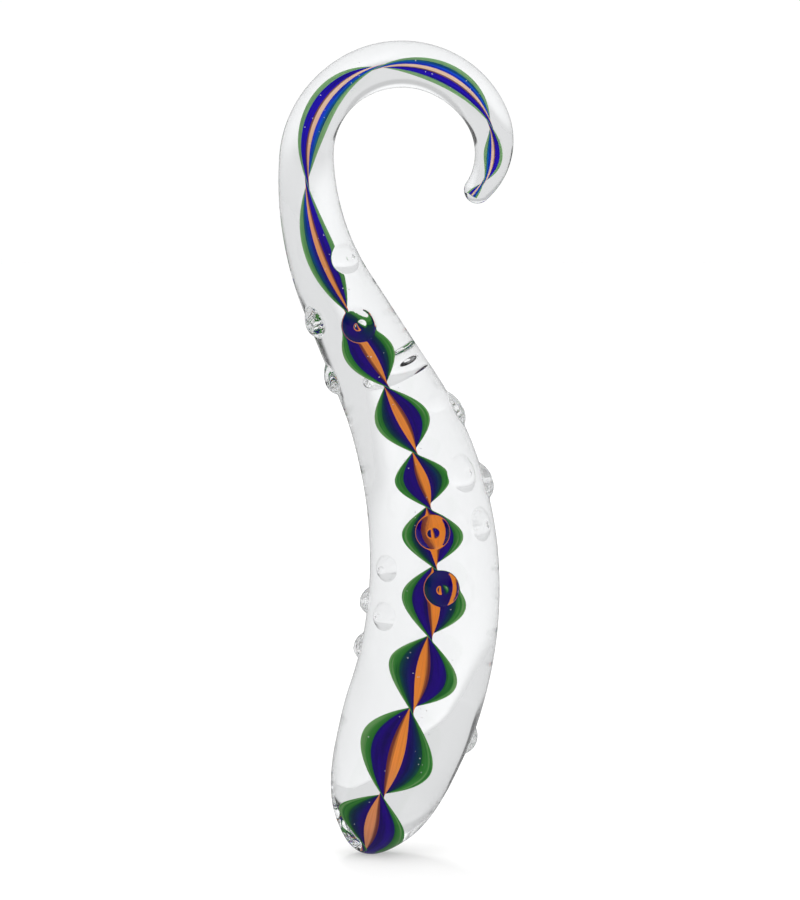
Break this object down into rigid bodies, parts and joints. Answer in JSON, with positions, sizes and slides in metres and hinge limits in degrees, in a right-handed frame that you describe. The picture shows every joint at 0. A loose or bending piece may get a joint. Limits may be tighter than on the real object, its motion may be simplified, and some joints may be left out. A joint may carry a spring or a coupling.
{
  "type": "curved glass massage wand",
  "caption": "Curved wand of clear glass with a thick rounded end, a hooked handle, raised glass nubs and a twisted coloured ribbon sealed inside.",
  "frame": {"origin": "under the middle of the glass, at the height of its lowest point, with the wand upright", "axes": "+Z from the thick foot towards the hook, +X towards the hook's tip, the curve in the XZ plane, -Y the side with the nubs that face the viewer"},
  "size_m": [0.0584, 0.035, 0.204],
  "materials": {
    "clear_glass": "clear, fire-polished",
    "green_glass": "opaque green, sealed in clear glass",
    "cobalt_glass": "deep cobalt blue, sealed in clear glass",
    "orange_glass": "opaque orange, sealed in clear glass"
  },
  "bodies": {
    "root": {"clear_body": "clear_glass", "green_ribbon": "green_glass", "cobalt_stripe_a": "cobalt_glass", "cobalt_stripe_b": "cobalt_glass", "orange_stripe_a": "orange_glass", "orange_stripe_b": "orange_glass", "nub_01": "clear_glass", "nub_02": "clear_glass", "nub_03": "clear_glass", "nub_04": "clear_glass", "nub_05": "clear_glass", "nub_06": "clear_glass", "nub_07": "clear_glass", "nub_08": "clear_glass", "nub_09": "clear_glass", "nub_10": "clear_glass", "nub_11": "clear_glass", "nub_12": "clear_glass", "nub_13": "clear_glass", "nub_14": "clear_glass", "nub_15": "clear_glass", "nub_16": "clear_glass", "nub_17": "clear_glass", "nub_18": "clear_glass", "nub_19": "clear_glass", "nub_20": "clear_glass", "nub_21": "clear_glass"}
  },
  "joints": []
}
